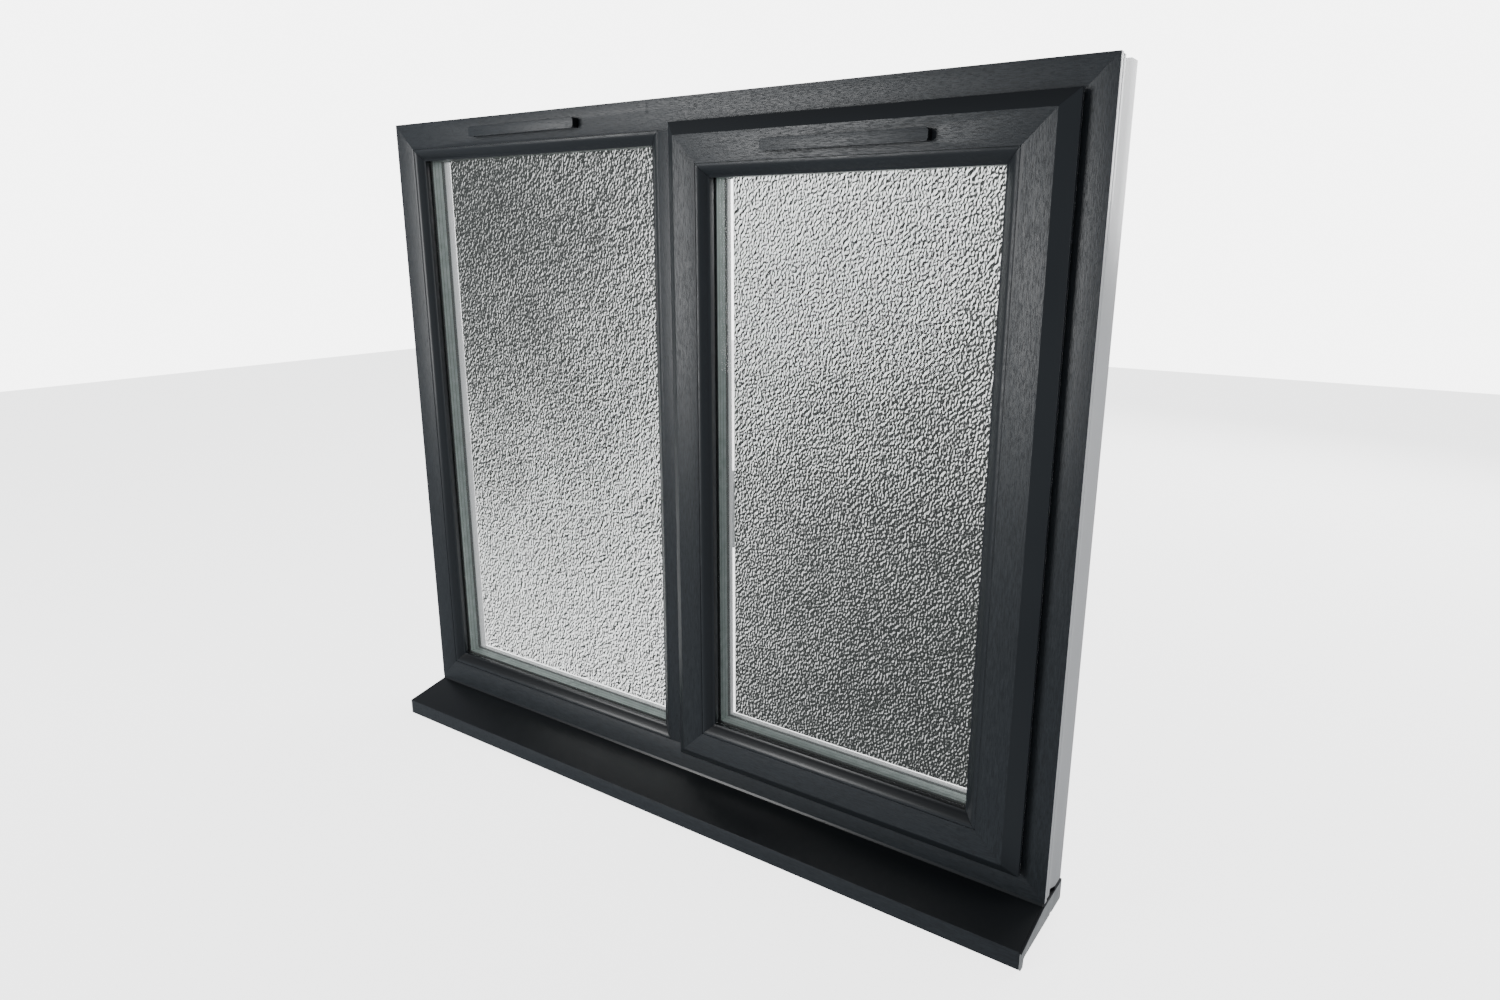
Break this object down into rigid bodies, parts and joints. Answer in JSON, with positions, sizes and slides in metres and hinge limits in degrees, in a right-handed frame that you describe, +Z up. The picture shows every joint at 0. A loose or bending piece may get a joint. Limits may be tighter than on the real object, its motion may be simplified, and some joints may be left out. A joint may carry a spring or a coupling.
{
  "type": "casement window",
  "caption": "Casement window with a fixed light and an outward-opening side-hung sash, patterned double glazing, trickle vents, lever handle with lock, and a projecting cill.",
  "frame": {"origin": "middle of the window's width, on the plane of the outer frame's exterior face, at the level of the cill's bearing underside", "axes": "+X to the right seen from outside, +Y into the room, +Z up"},
  "size_m": [1.19, 0.167, 1.0564],
  "materials": {
    "foiled_upvc": "anthracite woodgrain foil outside, white inside",
    "white_upvc": "smooth white",
    "end_cap": "moulded light grey",
    "rubber": "matt black",
    "galvanised_steel": "galvanised",
    "stainless_steel": "pressed stainless",
    "zinc": "bright zinc plate",
    "spacer": "satin spacer bar",
    "clear_glass": "clear float",
    "patterned_glass": "fine stippled obscure pattern"
  },
  "bodies": {
    "frame": {"frame_head": "foiled_upvc", "frame_bottom": "foiled_upvc", "frame_jamb_left": "foiled_upvc", "frame_jamb_right": "foiled_upvc", "mullion": "foiled_upvc", "cill": "foiled_upvc", "frame_vent_canopy": "foiled_upvc", "fixed_bead_left": "foiled_upvc", "fixed_bead_top": "foiled_upvc", "fixed_bead_right": "foiled_upvc", "fixed_bead_bottom": "foiled_upvc", "cill_end_cap_left": "end_cap", "cill_end_cap_right": "end_cap", "frame_vent_grille": "white_upvc", "fixed_outer_gasket": "rubber", "fixed_inner_gasket": "rubber", "frame_room_seal": "rubber", "reinforcement_jamb_left": "galvanised_steel", "reinforcement_jamb_right": "galvanised_steel", "reinforcement_mullion": "galvanised_steel", "stay_track_lower": "stainless_steel", "stay_track_upper": "stainless_steel", "keep_lower": "zinc", "keep_upper": "zinc", "fixed_spacer_bar": "spacer", "fixed_outer_pane": "clear_glass", "fixed_patterned_pane": "patterned_glass"},
    "frame_shutter": {"frame_vent_shutter": "white_upvc"},
    "sash_shutter": {"sash_vent_shutter": "white_upvc"},
    "stay_short_lower": {"stay_short_arm_lower": "stainless_steel"},
    "stay_short_upper": {"stay_short_arm_upper": "stainless_steel"},
    "stay_long_lower": {"stay_long_arm_lower": "stainless_steel"},
    "stay_long_upper": {"stay_long_arm_upper": "stainless_steel"},
    "handle": {"handle_lever": "white_upvc", "spindle_gear": "zinc"},
    "lock_button": {"handle_lock_button": "zinc"},
    "lock_rod": {"espag_rod": "zinc"},
    "sash": {"sash_vent_canopy": "foiled_upvc", "sash_top_rail": "foiled_upvc", "sash_bottom_rail": "foiled_upvc", "sash_lock_stile": "foiled_upvc", "sash_hinge_stile": "foiled_upvc", "sash_bead_left": "foiled_upvc", "sash_bead_top": "foiled_upvc", "sash_bead_right": "foiled_upvc", "sash_bead_bottom": "foiled_upvc", "sash_vent_grille": "white_upvc", "handle_rose": "white_upvc", "sash_outer_gasket": "rubber", "sash_inner_gasket": "rubber", "sash_lap_seal": "rubber", "reinforcement_lock_stile": "galvanised_steel", "reinforcement_hinge_stile": "galvanised_steel", "stay_bar_lower": "stainless_steel", "stay_bar_upper": "stainless_steel", "espag_faceplate": "zinc", "espag_gearbox": "zinc", "sash_spacer_bar": "spacer", "sash_outer_pane": "clear_glass", "sash_patterned_pane": "patterned_glass"}
  },
  "joints": [
    {"name": "stay_short_lower_turn", "type": "hinge", "parent": "frame", "child": "stay_short_lower", "pos_m": [0.47, 0.014, 0.0754], "axis": [0, 0, -1], "range_deg": [0, 57.2]},
    {"name": "sash_opening", "type": "hinge", "parent": "stay_short_lower", "child": "sash", "pos_m": [0.52862, 0.02678, 0.0754], "axis": [0, 0, 1], "range_deg": [0, 127.05]},
    {"name": "stay_short_upper_turn", "type": "hinge", "parent": "frame", "child": "stay_short_upper", "pos_m": [0.47, 0.014, 1.0026], "axis": [0, 0, -1], "range_deg": [0, 57.2]},
    {"name": "stay_long_lower_turn", "type": "hinge", "parent": "frame", "child": "stay_long_lower", "pos_m": [0.183, 0.038, 0.0754], "axis": [0, 0, -1], "range_deg": [0, 16.3]},
    {"name": "stay_long_upper_turn", "type": "hinge", "parent": "frame", "child": "stay_long_upper", "pos_m": [0.183, 0.038, 1.0026], "axis": [0, 0, -1], "range_deg": [0, 16.3]},
    {"name": "handle_turn", "type": "hinge", "parent": "sash", "child": "handle", "pos_m": [0.0505, 0.044, 0.502], "axis": [0, -1, 0], "range_deg": [0, 90]},
    {"name": "lock_rod_slide", "type": "slide", "parent": "sash", "child": "lock_rod", "axis": [0, 0, -1], "range_m": [0, 0.0119]},
    {"name": "lock_button_press", "type": "slide", "parent": "handle", "child": "lock_button", "axis": [0, -1, 0], "range_m": [0, 0.0025], "stiffness_N_per_m": 400},
    {"name": "frame_shutter_slide", "type": "slide", "parent": "frame", "child": "frame_shutter", "axis": [1, 0, 0], "range_m": [0, 0.0102]},
    {"name": "sash_shutter_slide", "type": "slide", "parent": "sash", "child": "sash_shutter", "axis": [1, 0, 0], "range_m": [0, 0.0102]}
  ],
  "couplings": [
    {"joint": "stay_short_lower_turn", "follows": "sash_opening", "ratio": 0.44904},
    {"joint": "stay_short_upper_turn", "follows": "sash_opening", "ratio": 0.44904},
    {"joint": "stay_long_lower_turn", "follows": "sash_opening", "ratio": 0.12727},
    {"joint": "stay_long_upper_turn", "follows": "sash_opening", "ratio": 0.12727},
    {"joint": "lock_rod_slide", "follows": "handle_turn", "m_per_rad": 0.0075}
  ]
}
